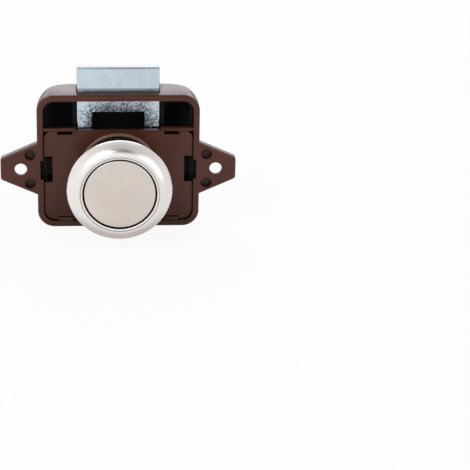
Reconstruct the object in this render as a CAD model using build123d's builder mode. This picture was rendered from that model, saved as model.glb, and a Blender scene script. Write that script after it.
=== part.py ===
from build123d import *
import math
import os

os.makedirs("parts", exist_ok=True)

# Push button cabinet lock, in millimetres.
# The origin is on the knob's axis, in the plane of the case's front rim, which lies on the door.
# X runs along the case, Y runs back into the cabinet and Z runs up, the way the bolt leaves.
# The lock is drawn shut: the knob is pressed in and the bolt stands out of the case.

# Case
case_width = 48.2
case_top = 23.05
case_bottom = 18.5
case_depth = 12.0
case_corner_r = 5.0
case_rear_share = 0.913
rear_overhang = 0.3
rear_edge = 1.0
barrel_edge = 0.8
wall = 1.8
moulded_edge = 0.35

# Ears with the screw holes
ear_length = 10.9
ear_root_half = 8.15
ear_tip_half = 3.27
ear_thickness = 2.5
ear_corner_r = 1.2
screw_offset = 4.9
screw_hole_r = 1.85
screw_sink_r = 3.3
dowel_hole_r = 1.65
dowel_offset = 2.1
dowel_rise = 4.5
dowel_depth = 1.8

# Front cover and the collar that fits the hole in the door
cover_front = 0.6
cover_thickness = 1.5
cover_gap = 0.25
cover_corner_r = 2.4
cover_tab_rise = 0.3
collar_reach = 2.0
collar_wall = 0.9
notch_inner = 13.6
notch_width = 4.5
notch_depth = 1.05
side_window_width = 2.45
side_window_height = 8.2
side_window_middle = -0.3
wall_notch_width = 0.9
wall_notch_height = 6.0
wall_notch_depth = 3.0

# Ledges in the case above the cover
ledge_low = 11.75
ledge_height = 0.95
ledge_front = 0.4

# Knob, ring and sleeve
door_thickness = 17.1
sleeve_r = 10.9
sleeve_wall = 1.2
sleeve_rear = 0.4
thread_gap = 0.1
ring_r = 15.35
ring_height = 3.9
ring_lip = 0.1
ring_crown_r = 11.9
ring_rim_share = 0.75
ring_dome_steps = 3
ring_groove = 0.25
ring_spigot_wall = 1.3
ring_spigot_length = 3.1
thread_grooves = 6
thread_depth = 0.4
sleeve_sides = 32
knob_r = 10.35
knob_gap = 0.45
knob_recess = 0.3
knob_edge = 1.8
knob_bevel = 0.25
knob_step_r = 9.1
knob_neck_r = 5.5
knob_spigot_r = 3.5
knob_spigot_length = 6.0

# Travels
knob_pop = 9.5
press_in = 0.8
ring_feed = 1.2
ramp_ratio = 0.8

# Bolt
bolt_width = 24.5
bolt_front = 2.9
bolt_rear_gap = 0.2
bolt_reach = 7.75
nose_flat = 2.7
nose_drop = 4.6
bolt_shoulder = 6.3
bolt_window_width = 15.4
bolt_edge_r = 0.3
crossbar_height = 2.0
crossbar_floor_gap = 0.5
pad_length = 3.0
pad_setback = 1.0
pad_width = 9.0
pad_step = 0.1
spring_bore_depth = 8.4

# Plunger
stub_gap = 0.3
stub_front = 8.5
stub_rear = 1.8
body_half = 6.0
plunger_top = 7.0
fin_half = 4.8
block_half = 7.3
block_drop = 9.5
ramp_run_out = 0.2
web_rear = 9.0

# Spring behind the plunger
main_spring_wire = 0.8
main_spring_r = 4.3
main_spring_turns = 5
coil_steps = 9
coil_sides = 5

# Springs under the bolt
bolt_spring_wire = 0.4
bolt_spring_r = 1.45
bolt_spring_turns = 7

# Cam wire that holds the plunger in, its track and its leaf spring
wire = 1.0
wire_sides = 8
wire_pivot_inset = 2.0
wire_length = 12.6
wire_swing_x = 0.8
track_depth = 1.5
track_gap = 0.35
track_return_x = 3.7
track_turn_share = 0.6
leaf_thickness = 0.25
leaf_width = 4.0
leaf_rise = 0.6
leaf_setback = 0.5

# Screw that ties the knob to the plunger
knob_screw_r = 1.5
knob_screw_head_r = 2.75
knob_screw_head = 2.0
knob_screw_bite = 6.5
screw_slot = 0.8
screw_slot_depth = 1.0

# Clearances
slide_gap = 0.15
loose_gap = 0.3
fit_gap = 0.05
pivot_gap = 0.05
liner_gap = 0.1
liner_wall = 1.0
rail_width = 1.2
overrun = 1.0

# Places that follow from the sizes above
case_height = case_top + case_bottom
case_middle = (case_top - case_bottom) / 2
inner_half = case_width / 2 - wall
floor_z = wall - case_bottom
ceiling_z = case_top - wall
rear_inner_y = case_depth - wall
cover_rear = cover_front + cover_thickness
ledge_top = ledge_low + ledge_height
case_rear_r = case_rear_share * case_depth
ear_reach = case_width / 2 + ear_length
hole_x = case_width / 2 + screw_offset
dowel_x = case_width / 2 + dowel_offset
collar_bore_r = sleeve_r + thread_gap
collar_r = collar_bore_r + collar_wall
sleeve_bore_r = sleeve_r - sleeve_wall

bolt_half = bolt_width / 2
bolt_rear = rear_inner_y - liner_gap - liner_wall - bolt_rear_gap
bolt_thickness = bolt_rear - bolt_front
bolt_top = case_top + bolt_reach
bolt_travel = ramp_ratio * knob_pop
bolt_window_half = bolt_window_width / 2
bolt_window_top = case_top - bolt_shoulder
bolt_low = floor_z + crossbar_floor_gap + bolt_travel
crossbar_top = bolt_low + crossbar_height
leg_x = (bolt_half + bolt_window_half) / 2
leg_y = (bolt_front + bolt_rear) / 2
pad_rear = bolt_rear - pad_setback
pad_front = pad_rear - pad_length
pad_top = crossbar_top + pad_step + ramp_ratio * (pad_length + pad_setback)

ramp_start = pad_front - press_in - slide_gap
ramp_end = pad_rear + knob_pop
plunger_rear = ramp_end + ramp_run_out
block_front = cover_rear + knob_pop + fit_gap
stub_r = sleeve_bore_r - stub_gap


def ramp_z(y):
    """Height of the plunger's underside where the bolt's pad slides, at a depth y."""
    return pad_top + fit_gap - ramp_ratio * (y - pad_front)


wire_low = plunger_top + fit_gap
wire_z = wire_low + wire / 2
leaf_low = wire_low + wire + fit_gap
roof_z = leaf_low + leaf_thickness + leaf_rise
barrel_half = block_half + loose_gap
barrel_low = ramp_z(ramp_end) - 2 * slide_gap
barrel_rear_inner = plunger_rear + press_in + 2 * loose_gap
barrel_rear = barrel_rear_inner + wall
barrel_corner_r = 2 * wall
main_bore_r = main_spring_r + loose_gap
wire_pivot_y = barrel_rear_inner - wire_pivot_inset
catch_y = wire_pivot_y - wire_length
leaf_start_y = case_depth + leaf_setback
leaf_end_y = wire_pivot_y - wire / 2 - 2 * loose_gap

ring_seat = -door_thickness
ring_front = ring_seat - ring_height
ring_bore_r = knob_r + knob_gap
knob_face = ring_front + knob_recess
knob_back = knob_face + knob_edge
knob_foot = -stub_front
sleeve_front = knob_back + press_in + ring_feed + slide_gap


def box_between(left, right, low, high):
    """Draw a rectangle between two limits across and two limits up."""
    with Locations(((left + right) / 2, (low + high) / 2)):
        Rectangle(right - left, high - low)


def at_depth(y):
    """The upright plane at a depth y. Drawings on it are seen from the front, and grow forward."""
    return Plane.XZ.offset(-y)


def case_form(inset):
    """The case's outer form, drawn in by an inset on every side but its open front."""
    half = case_width / 2 - inset
    depth = case_depth - inset
    with BuildPart() as form:
        with BuildSketch(at_depth(depth)):
            with Locations((0, case_middle)):
                RectangleRounded(2 * half, case_height - 2 * inset, case_corner_r - inset)
        extrude(amount=depth)
        # The rear rounds start a little outside the sides, which they cut at a faint crease
        with BuildSketch(Plane.XY.offset(-case_bottom)) as plan:
            box_between(-half - rear_overhang, half + rear_overhang, 0, depth)
            fillet(plan.vertices().group_by(Axis.Y)[-1], case_rear_r - inset)
        extrude(amount=case_height, mode=Mode.INTERSECT)
    return form.part


# Case: the brown moulding with its rim, ears, barrel and the slot that the bolt leaves by
with BuildPart() as case_hollow:
    add(case_form(wall))
    # Ledges above the cover, one each side of the bolt
    with BuildSketch(at_depth(cover_rear)):
        for side in (-1, 1):
            with Locations((side * (bolt_half + inner_half + loose_gap) / 2, (ledge_low + ledge_top) / 2)):
                Rectangle(inner_half - bolt_half - loose_gap, ledge_height)
    extrude(amount=cover_rear - ledge_front, mode=Mode.SUBTRACT)
    # Tabs on the floor that the cover's lower notches fit over
    with BuildSketch(at_depth(cover_rear)):
        for side in (-1, 1):
            with Locations((side * (notch_inner + notch_width / 2), floor_z + notch_depth / 2)):
                Rectangle(notch_width - 2 * slide_gap, notch_depth)
    extrude(amount=cover_rear - ledge_front, mode=Mode.SUBTRACT)
    # Pins on the floor that centre the bolt's springs
    spring_pin_r = bolt_spring_r - bolt_spring_wire - slide_gap
    with BuildSketch(Plane.XY.offset(floor_z)):
        with Locations((-leg_x, leg_y), (leg_x, leg_y)):
            Circle(spring_pin_r)
    extrude(amount=2 * spring_pin_r, mode=Mode.SUBTRACT)

with BuildPart() as housing:
    add(case_form(0))
    rear_edges = housing.faces().sort_by(Axis.Y)[-1].edges().filter_by(Axis.X)
    chamfer(rear_edges, rear_edge)
    # Ears, flush with the rim
    with BuildSketch(at_depth(ear_thickness)):
        with BuildLine():
            Polyline(
                (-ear_reach, ear_tip_half),
                (-case_width / 2, ear_root_half),
                (case_width / 2, ear_root_half),
                (ear_reach, ear_tip_half),
                (ear_reach, -ear_tip_half),
                (case_width / 2, -ear_root_half),
                (-case_width / 2, -ear_root_half),
                (-ear_reach, -ear_tip_half),
                close=True,
            )
        ears = make_face()
        fillet(ears.vertices().filter_by(lambda v: abs(v.X) > hole_x), ear_corner_r)
    extrude(amount=ear_thickness)
    # Barrel behind the case, round the plunger's tail
    with BuildSketch(at_depth(barrel_rear)):
        with Locations((0, (roof_z + barrel_low) / 2)):
            RectangleRounded(2 * (barrel_half + wall), roof_z - barrel_low + 2 * wall, barrel_corner_r)
    extrude(amount=barrel_rear - rear_inner_y)
    barrel_rim = housing.faces().sort_by(Axis.Y)[-1].edges()
    chamfer(barrel_rim, barrel_edge)
    # Inside of the case and of the barrel
    add(case_hollow.part, mode=Mode.SUBTRACT)
    with BuildSketch(at_depth(barrel_rear_inner)):
        box_between(-barrel_half, barrel_half, barrel_low, roof_z)
    extrude(amount=barrel_rear_inner - rear_inner_y + overrun, mode=Mode.SUBTRACT)
    # Stub that centres the plunger's spring
    with BuildSketch(at_depth(barrel_rear_inner)):
        Circle(main_spring_r - main_spring_wire - loose_gap)
    extrude(amount=wall)
    # Slot in the top for the bolt
    with BuildSketch(Plane.XY.offset(ceiling_z - overrun)):
        slot_half = bolt_half + slide_gap
        box_between(-slot_half, slot_half, bolt_front - slide_gap, bolt_rear + slide_gap)
    extrude(amount=wall + 2 * overrun, mode=Mode.SUBTRACT)
    # Blind hole in the barrel's roof for the cam wire's pivot
    with BuildSketch(Plane.XY.offset(roof_z)):
        with Locations((0, wire_pivot_y)):
            Circle(wire / 2 + pivot_gap)
    extrude(amount=wall - leaf_rise, mode=Mode.SUBTRACT)
    # Pocket in the barrel's roof for the leaf spring's tab
    with BuildSketch(Plane.XY.offset(roof_z)):
        with Locations((0, leaf_start_y)):
            Rectangle(leaf_width / 2 + 2 * fit_gap, leaf_thickness + 2 * fit_gap)
    extrude(amount=wall - leaf_rise, mode=Mode.SUBTRACT)
    # Notches in the side walls, beside the cover's windows
    with BuildSketch(at_depth(wall_notch_depth)):
        with Locations((-inner_half, side_window_middle), (inner_half, side_window_middle)):
            Rectangle(2 * wall_notch_width, wall_notch_height)
    extrude(amount=wall_notch_depth, mode=Mode.SUBTRACT)
    # Screw holes, sunk from behind for the screws' heads, and two blind holes in each ear
    with Locations(at_depth(ear_thickness)):
        with Locations((-hole_x, 0), (hole_x, 0)):
            Hole(screw_hole_r, depth=ear_thickness + overrun)
    for side in (-1, 1):
        with BuildSketch(Plane.XY) as sink_profile:
            Polygon(
                (side * hole_x, ear_thickness),
                (side * hole_x + screw_sink_r, ear_thickness),
                (side * hole_x, ear_thickness - screw_sink_r),
                align=None,
            )
        sink_axis = Axis((side * hole_x, 0, 0), (0, 1, 0))
        revolve(axis=sink_axis, mode=Mode.SUBTRACT)
    with BuildSketch(at_depth(dowel_depth)):
        with GridLocations(2 * dowel_x, 2 * dowel_rise, 2, 2):
            Circle(dowel_hole_r)
    extrude(amount=dowel_depth, mode=Mode.SUBTRACT)
    # Small bevel along the rim's outer front edge
    front_face = housing.faces().filter_by(Axis.Y).sort_by(Axis.Y)[0]
    chamfer(front_face.outer_wire().edges(), moulded_edge)
housing.part.label = "housing"


# Liner: the black tub inside the case, which guides the bolt
liner_inset = wall + liner_gap
liner_front = cover_rear + fit_gap
rail_x = bolt_half + slide_gap + rail_width / 2
lug_setback = 0.9
lug_length = 1.0
lug_front = liner_front + lug_setback
lug_inner = inner_half - side_window_width - loose_gap
leg_hook = 0.55
leg_half_height = 2.8

with BuildPart() as liner_hollow:
    add(case_form(liner_inset + liner_wall))
    # Rails each side of the bolt
    with BuildSketch(at_depth(case_depth)):
        for side in (-1, 1):
            with Locations((side * rail_x, case_middle)):
                Rectangle(rail_width, case_height)
    extrude(amount=case_depth - bolt_front - slide_gap, mode=Mode.SUBTRACT)
    # Lugs that the cover's legs snap behind
    with BuildSketch(at_depth(lug_front + lug_length)):
        for side in (-1, 1):
            with Locations((side * (lug_inner + inner_half) / 2, side_window_middle)):
                Rectangle(inner_half - lug_inner, 2 * leg_half_height - 2 * slide_gap)
    extrude(amount=lug_length, mode=Mode.SUBTRACT)

with BuildPart() as liner:
    add(case_form(liner_inset))
    add(liner_hollow.part, mode=Mode.SUBTRACT)
    # The tub starts behind the cover
    with BuildSketch(at_depth(liner_front)):
        box_between(-case_width, case_width, -case_height, case_height)
    extrude(amount=case_depth, mode=Mode.SUBTRACT)
    # Way for the bolt, through the tub's top and down to the case's floor
    with BuildSketch(Plane.XY.offset(-case_bottom)):
        box_between(-bolt_half - slide_gap, bolt_half + slide_gap, 0, bolt_rear + slide_gap)
    extrude(amount=2 * case_height, mode=Mode.SUBTRACT)
    # Way for the plunger
    with BuildSketch(at_depth(case_depth)):
        box_between(-barrel_half, barrel_half, barrel_low, roof_z)
    extrude(amount=case_depth, mode=Mode.SUBTRACT)
    # Tongues that hold the liner in the notches of the case's side walls
    tongue_in = inner_half - liner_gap - liner_wall
    tongue_out = inner_half + wall_notch_width - slide_gap
    with BuildSketch(at_depth(wall_notch_depth - fit_gap)):
        for side in (-1, 1):
            with Locations((side * (tongue_in + tongue_out) / 2, side_window_middle)):
                Rectangle(tongue_out - tongue_in, wall_notch_height - 2 * slide_gap)
    extrude(amount=wall_notch_depth - fit_gap - liner_front)
liner.part.label = "guide_liner"


# Front cover: the brown plate with the collar, held by two legs behind it
cover_half = inner_half - cover_gap
cover_low = floor_z + cover_gap
cover_high = ledge_low - fit_gap

with BuildPart() as cover:
    with BuildSketch(at_depth(cover_rear)) as plate:
        box_between(-cover_half, cover_half, cover_low, cover_high)
        fillet(plate.vertices().group_by(Axis.Y)[-1], cover_corner_r)
        fillet(plate.vertices().group_by(Axis.Y)[0], case_corner_r - wall)
        box_between(-bolt_half - slide_gap, bolt_half + slide_gap, 0, cover_high + cover_tab_rise)
        # Notches in the top and bottom edges
        for side in (-1, 1):
            for edge_z in (cover_high, cover_low):
                with Locations((side * (notch_inner + notch_width / 2), edge_z)):
                    Rectangle(notch_width, 2 * notch_depth, mode=Mode.SUBTRACT)
        # Windows in the side edges
        with Locations((-cover_half, side_window_middle), (cover_half, side_window_middle)):
            Rectangle(2 * side_window_width, side_window_height, mode=Mode.SUBTRACT)
    extrude(amount=cover_thickness)
    # Collar
    with BuildSketch(at_depth(cover_front)):
        Circle(collar_r)
    extrude(amount=cover_front + collar_reach)
    with Locations(Plane.XZ):
        Hole(collar_bore_r)
    collar_rim = cover.faces().sort_by(Axis.Y)[0].outer_wire().edges()
    chamfer(collar_rim, moulded_edge)
    # Legs with hooks, which snap behind the liner's lugs
    leg_x_out = cover_half - side_window_width - loose_gap
    leg_thickness = cover_thickness
    hook_front = lug_front + lug_length + slide_gap
    for side in (-1, 1):
        with BuildSketch(Plane.XY.offset(side_window_middle - leg_half_height)):
            with BuildLine():
                Polyline(
                    (side * leg_x_out, cover_rear),
                    (side * leg_x_out, hook_front),
                    (side * (leg_x_out + leg_hook), hook_front),
                    (side * leg_x_out, hook_front + 2 * leg_hook),
                    (side * (leg_x_out - leg_thickness), hook_front + 2 * leg_hook),
                    (side * (leg_x_out - leg_thickness), cover_rear),
                    close=True,
                )
            make_face()
        extrude(amount=2 * leg_half_height)
cover.part.label = "front_cover"


# Latch bolt: a plated frame with a bevelled nose, two hollow legs and a crossbar with a sloped pad
with BuildPart() as bolt:
    with BuildSketch(Plane.YZ.offset(-bolt_half)):
        with BuildLine():
            Polyline(
                (bolt_front, bolt_low),
                (bolt_front, bolt_top),
                (bolt_front + nose_flat, bolt_top),
                (bolt_rear, bolt_top - nose_drop),
                (bolt_rear, bolt_low),
                close=True,
            )
        make_face()
    extrude(amount=bolt_width)
    with BuildSketch(at_depth(bolt_rear + overrun)):
        box_between(-bolt_window_half, bolt_window_half, crossbar_top, bolt_window_top)
    extrude(amount=bolt_thickness + 2 * overrun, mode=Mode.SUBTRACT)
    # Small rounds on the front face's outline and on the window's front edge
    bolt_face = bolt.faces().filter_by(Axis.Y).sort_by(Axis.Y)[0]
    fillet(bolt_face.edges(), bolt_edge_r)
    # Sloped pad that the plunger's ramp drives down
    with BuildSketch(Plane.YZ.offset(-pad_width / 2)):
        with BuildLine():
            Polyline(
                (pad_front, bolt_low + crossbar_height / 2),
                (pad_front, pad_top),
                (pad_rear, pad_top - ramp_ratio * pad_length),
                (pad_rear, bolt_low + crossbar_height / 2),
                close=True,
            )
        make_face()
    extrude(amount=pad_width)
    # Bores up the legs for the springs
    spring_bore_r = bolt_spring_r + slide_gap
    with BuildSketch(Plane.XY.offset(bolt_low)):
        with Locations((-leg_x, leg_y), (leg_x, leg_y)):
            Circle(spring_bore_r)
    extrude(amount=spring_bore_depth, mode=Mode.SUBTRACT)
bolt.part.label = "latch_bolt"


# Plunger: the black slide that carries the knob, the bolt's ramp and the cam wire's track
def track_legs():
    """The ends of each straight stretch of the heart-shaped track, seen from above."""
    catch = (-wire_swing_x, catch_y)
    ahead = (-wire_swing_x, catch_y - press_in)
    out = (wire_swing_x, catch_y + knob_pop)
    far_back = (track_return_x, catch_y + track_turn_share * knob_pop)
    far_front = (track_return_x, catch_y + press_in)
    return [(catch, ahead), (catch, out), (out, far_back), (far_back, far_front), (far_front, ahead)]


with BuildPart() as plunger:
    # Round stub in front, which slides in the sleeve
    with BuildSketch(at_depth(stub_rear)):
        Circle(stub_r)
    extrude(amount=stub_rear + stub_front)
    # Waist that passes through the bolt's frame
    with BuildSketch(at_depth(plunger_rear)):
        box_between(-body_half, body_half, ramp_z(ramp_start), plunger_top)
    extrude(amount=plunger_rear - stub_rear + overrun)
    # Block at the rear, which stops on the cover when the knob is out
    with BuildSketch(at_depth(plunger_rear)):
        box_between(-block_half, block_half, -block_drop, plunger_top)
    extrude(amount=plunger_rear - block_front)
    # Ramp fin
    with BuildSketch(Plane.YZ.offset(-fin_half)):
        with BuildLine():
            Polyline(
                (ramp_start, ramp_z(ramp_start)),
                (ramp_end, ramp_z(ramp_end)),
                (plunger_rear, ramp_z(ramp_end)),
                (plunger_rear, 0),
                (ramp_start, 0),
                close=True,
            )
        make_face()
    extrude(amount=2 * fin_half)
    # The block's underside follows the ramp where it would stand below it
    with BuildSketch(Plane.YZ.offset(-block_half - overrun)):
        with BuildLine():
            Polyline(
                (ramp_start, ramp_z(ramp_start)),
                (ramp_end, ramp_z(ramp_end)),
                (ramp_start, ramp_z(ramp_end)),
                close=True,
            )
        make_face()
    extrude(amount=2 * (block_half + overrun), mode=Mode.SUBTRACT)
    # Bore for the spring, hole for the screw and socket for the knob's spigot
    with BuildSketch(at_depth(plunger_rear)):
        Circle(main_bore_r)
    extrude(amount=plunger_rear - web_rear, mode=Mode.SUBTRACT)
    with BuildSketch(at_depth(plunger_rear)):
        Circle(knob_screw_r + slide_gap)
    extrude(amount=plunger_rear + stub_front, mode=Mode.SUBTRACT)
    with BuildSketch(at_depth(knob_foot + knob_spigot_length + loose_gap)):
        Circle(knob_spigot_r + fit_gap)
    extrude(amount=knob_spigot_length + 2 * loose_gap, mode=Mode.SUBTRACT)
    # Heart-shaped track in the top
    with BuildSketch(Plane.XY.offset(plunger_top - track_depth)):
        for start, end in track_legs():
            run = math.dist(start, end)
            turn = math.degrees(math.atan2(end[1] - start[1], end[0] - start[0]))
            with Locations(((start[0] + end[0]) / 2, (start[1] + end[1]) / 2)):
                SlotCenterToCenter(run, wire + 2 * track_gap, rotation=turn)
    extrude(amount=track_depth + overrun, mode=Mode.SUBTRACT)
plunger.part.label = "plunger"


# Knob: the nickel button on its neck
with BuildPart() as knob:
    with BuildSketch(Plane.XY) as knob_profile:
        with BuildLine():
            Polyline(
                (0, knob_face),
                (knob_r - knob_bevel, knob_face),
                (knob_r, knob_face + knob_bevel),
                (knob_r, knob_back),
                (knob_step_r, knob_back),
                (knob_neck_r, knob_back + knob_step_r - knob_neck_r),
                (knob_neck_r, knob_foot),
                (knob_spigot_r, knob_foot),
                (knob_spigot_r, knob_foot + knob_spigot_length),
                (0, knob_foot + knob_spigot_length),
                (0, knob_face),
            )
        make_face()
    revolve(axis=Axis.Y)
    with BuildSketch(at_depth(knob_foot + knob_spigot_length)):
        Circle(knob_screw_r + fit_gap)
    extrude(amount=knob_spigot_length + 2 * knob_screw_r, mode=Mode.SUBTRACT)
knob.part.label = "knob"


# Screw through the plunger's web into the knob's spigot
with BuildPart() as knob_screw:
    with BuildSketch(at_depth(web_rear + knob_screw_head)):
        Circle(knob_screw_head_r)
    extrude(amount=knob_screw_head)
    with BuildSketch(at_depth(web_rear)):
        Circle(knob_screw_r)
    extrude(amount=web_rear - knob_foot - knob_spigot_length + knob_screw_bite)
    with BuildSketch(at_depth(web_rear + knob_screw_head)):
        Rectangle(2 * knob_screw_head_r, screw_slot)
    extrude(amount=screw_slot_depth, mode=Mode.SUBTRACT)
knob_screw.part.label = "knob_screw"


# Ring: the nickel rosette on the outside of the door
with BuildPart() as ring:
    with BuildSketch(Plane.XY):
        with BuildLine():
            lip_front = ring_seat - ring_lip
            seat_r = sleeve_r + fit_gap
            spigot_rear = ring_seat + ring_spigot_length
            # The dome is the upper part of an ellipse, in a few straight steps. It leaves the rim at a slant
            dome = []
            rim_angle = math.asin(ring_rim_share)
            for step in range(ring_dome_steps + 1):
                angle = rim_angle + (math.pi / 2 - rim_angle) * step / ring_dome_steps
                out = (ring_r - ring_crown_r) * math.cos(angle) / math.cos(rim_angle)
                forward = (math.sin(angle) - ring_rim_share) / (1 - ring_rim_share)
                dome.append((ring_crown_r + out, lip_front - (lip_front - ring_front) * forward))
            Polyline(
                (seat_r, sleeve_front),
                (seat_r, spigot_rear),
                (seat_r + ring_spigot_wall, spigot_rear),
                (seat_r + ring_spigot_wall, ring_seat),
                (ring_r, ring_seat),
                *dome,
                (ring_bore_r, ring_front + ring_groove),
                (ring_bore_r, sleeve_front),
                close=True,
            )
        make_face()
    revolve(axis=Axis.Y)
ring.part.label = "rosette_ring"


# Sleeve: the black tube that screws the ring to the collar. Its coarse thread is drawn as a row of grooves,
# with flat sides in place of round ones
with BuildPart() as sleeve:
    half_pitch = (sleeve_rear - sleeve_front) / thread_grooves / 2
    for row in range(2 * thread_grooves + 1):
        cut = thread_depth * (row % 2)
        with BuildSketch(at_depth(sleeve_front + row * half_pitch)):
            RegularPolygon(sleeve_r - cut, sleeve_sides)
    loft(ruled=True)
    with BuildSketch(at_depth(sleeve_rear)):
        RegularPolygon(sleeve_bore_r, sleeve_sides)
    extrude(amount=sleeve_rear - sleeve_front, mode=Mode.SUBTRACT)
sleeve.part.label = "rosette_sleeve"


def coil(start, direction, length, outer_r, thickness, turns):
    """A compression spring as one wire, from a start point along a direction."""
    clear = thickness / 2 + fit_gap
    mean_r = outer_r - thickness / 2
    rise = length - 2 * clear
    base = Plane(origin=start, z_dir=direction).offset(clear)
    steps = turns * coil_steps
    points = []
    for step in range(steps + 1):
        angle = math.tau * step / coil_steps
        points.append((mean_r * math.cos(angle), mean_r * math.sin(angle), rise * step / steps))
    line = base * Polyline(*points)
    with BuildPart() as spring:
        with BuildSketch(Plane(origin=line @ 0, z_dir=line % 0)):
            RegularPolygon(thickness / 2, coil_sides)
        sweep(path=line, transition=Transition.RIGHT)
    return spring.part


# Spring that pushes the knob out
main_spring = coil(
    start=(0, web_rear, 0),
    direction=(0, 1, 0),
    length=barrel_rear_inner - web_rear,
    outer_r=main_spring_r,
    thickness=main_spring_wire,
    turns=main_spring_turns,
)
main_spring.label = "plunger_spring"

# Springs that push the bolt up, one in each leg
bolt_springs = {}
for name, side in (("bolt_spring_left", -1), ("bolt_spring_right", 1)):
    bolt_springs[name] = coil(
        start=(side * leg_x, leg_y, floor_z),
        direction=(0, 0, 1),
        length=bolt_low + spring_bore_depth - floor_z,
        outer_r=bolt_spring_r,
        thickness=bolt_spring_wire,
        turns=bolt_spring_turns,
    )
    bolt_springs[name].label = name


# Cam wire: its rear end turns in the barrel's roof and its front end runs in the plunger's track
with BuildPart() as cam_wire:
    with BuildLine() as wire_path:
        Polyline(
            (0, wire_pivot_y, roof_z + wall - leaf_rise - fit_gap),
            (0, wire_pivot_y, wire_z),
            (-wire_swing_x, catch_y, wire_z),
            (-wire_swing_x, catch_y, plunger_top - track_depth + 2 * fit_gap),
        )
    with BuildSketch(Plane(origin=wire_path.line @ 0, z_dir=wire_path.line % 0)):
        RegularPolygon(wire / 2, wire_sides)
    sweep(path=wire_path.line, transition=Transition.RIGHT)
cam_wire.part.label = "cam_wire"


# Leaf spring: an arched strip under the barrel's roof, which keeps the cam wire down in its track
with BuildPart() as leaf:
    with BuildSketch(Plane.YZ.offset(-leaf_width / 2)):
        with BuildLine() as leaf_line:
            bow_z = leaf_low + leaf_thickness / 2
            end_z = roof_z - leaf_thickness / 2 - fit_gap
            ThreePointArc(
                (leaf_start_y, end_z),
                ((leaf_start_y + leaf_end_y) / 2, bow_z),
                (leaf_end_y, end_z),
            )
            offset(amount=leaf_thickness / 2)
        make_face()
    extrude(amount=leaf_width)
    with BuildSketch(Plane.XY.offset(end_z)):
        with Locations((0, leaf_start_y)):
            Rectangle(leaf_width / 2, leaf_thickness)
    extrude(amount=wall - leaf_rise)
leaf.part.label = "cam_leaf_spring"


pieces = [
    housing.part,
    liner.part,
    cover.part,
    bolt.part,
    plunger.part,
    knob.part,
    knob_screw.part,
    ring.part,
    sleeve.part,
    main_spring,
    *bolt_springs.values(),
    cam_wire.part,
    leaf.part,
]
for piece in pieces:
    export_step(piece, f"parts/{piece.label}.step")

print(f"knob travel {knob_pop:.2f} out and {press_in:.2f} in, bolt travel {bolt_travel:.2f}")
print(f"barrel rear {barrel_rear:.2f}, ring front {ring_front:.2f}, bolt top {bolt_top:.2f}")
print(f"collar radius {collar_r:.2f}, bolt low {bolt_low:.2f}")
print(f"crossbar top {crossbar_top:.2f}, pad top {pad_top:.2f}")
print(f"barrel half {barrel_half:.2f}, low {barrel_low:.2f}, roof {roof_z:.2f}, wire z {wire_z:.2f}")
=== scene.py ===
# %% [markdown]
# # Push button cabinet lock
# This lock closes the door of a small cabinet. A brown moulded case is screwed inside the door, and a nickel
# ring and knob show outside. Pressing the knob shuts the lock and lets the plated bolt stand out of the case.
# The solids come from the CAD model, already in their places and in metres. Each one is dressed here: its sharp
# edges are softened or its shape is turned afresh, and it gets the finish of the real piece.

# %% Load the solids
import math

import bmesh
import bpy
from mathutils import Euler, Matrix, Vector


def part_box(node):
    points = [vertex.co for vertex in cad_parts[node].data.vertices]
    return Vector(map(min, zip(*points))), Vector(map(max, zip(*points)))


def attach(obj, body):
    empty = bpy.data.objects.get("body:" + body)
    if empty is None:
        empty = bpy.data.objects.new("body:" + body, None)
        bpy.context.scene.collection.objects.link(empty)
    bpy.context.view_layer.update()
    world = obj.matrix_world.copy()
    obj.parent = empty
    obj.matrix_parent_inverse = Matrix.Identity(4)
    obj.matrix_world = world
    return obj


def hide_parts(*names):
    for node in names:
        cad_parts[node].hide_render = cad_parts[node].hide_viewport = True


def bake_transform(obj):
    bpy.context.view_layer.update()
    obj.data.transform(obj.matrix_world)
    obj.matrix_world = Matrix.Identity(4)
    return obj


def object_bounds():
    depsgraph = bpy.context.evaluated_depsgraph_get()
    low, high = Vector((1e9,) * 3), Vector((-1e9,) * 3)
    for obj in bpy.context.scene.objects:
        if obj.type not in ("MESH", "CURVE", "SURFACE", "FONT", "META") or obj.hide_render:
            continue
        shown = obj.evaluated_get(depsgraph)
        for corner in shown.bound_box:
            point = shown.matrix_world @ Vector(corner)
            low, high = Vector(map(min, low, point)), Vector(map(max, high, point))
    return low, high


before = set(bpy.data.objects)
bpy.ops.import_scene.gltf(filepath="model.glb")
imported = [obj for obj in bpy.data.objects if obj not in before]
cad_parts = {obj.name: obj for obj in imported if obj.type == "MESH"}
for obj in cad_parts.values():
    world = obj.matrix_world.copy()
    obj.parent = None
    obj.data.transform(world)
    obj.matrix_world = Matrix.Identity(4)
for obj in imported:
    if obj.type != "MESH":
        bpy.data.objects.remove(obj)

MM = 0.001
cad_low, cad_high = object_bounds()
print("CAD box in mm", [round(v / MM, 2) for v in (*cad_low, *cad_high)])

# %% [markdown]
# ## Camera
# The picture was taken from in front and a little above, with a long lens, and the lock sits in its upper left
# corner. The camera could be slid sideways with lens shift, but a shift would also push the lock off centre in
# every other view. So it stands where the photographer stood and turns a little to the right and down instead.

# %% Camera
view_elevation = math.radians(20.98)
view_azimuth = math.radians(-1.08)
view_distance = 0.633
picture_px = 470
focal_px = 2118.4
knob_axis_px = (118.55, 168.9)
sensor_mm = 36.0


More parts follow.
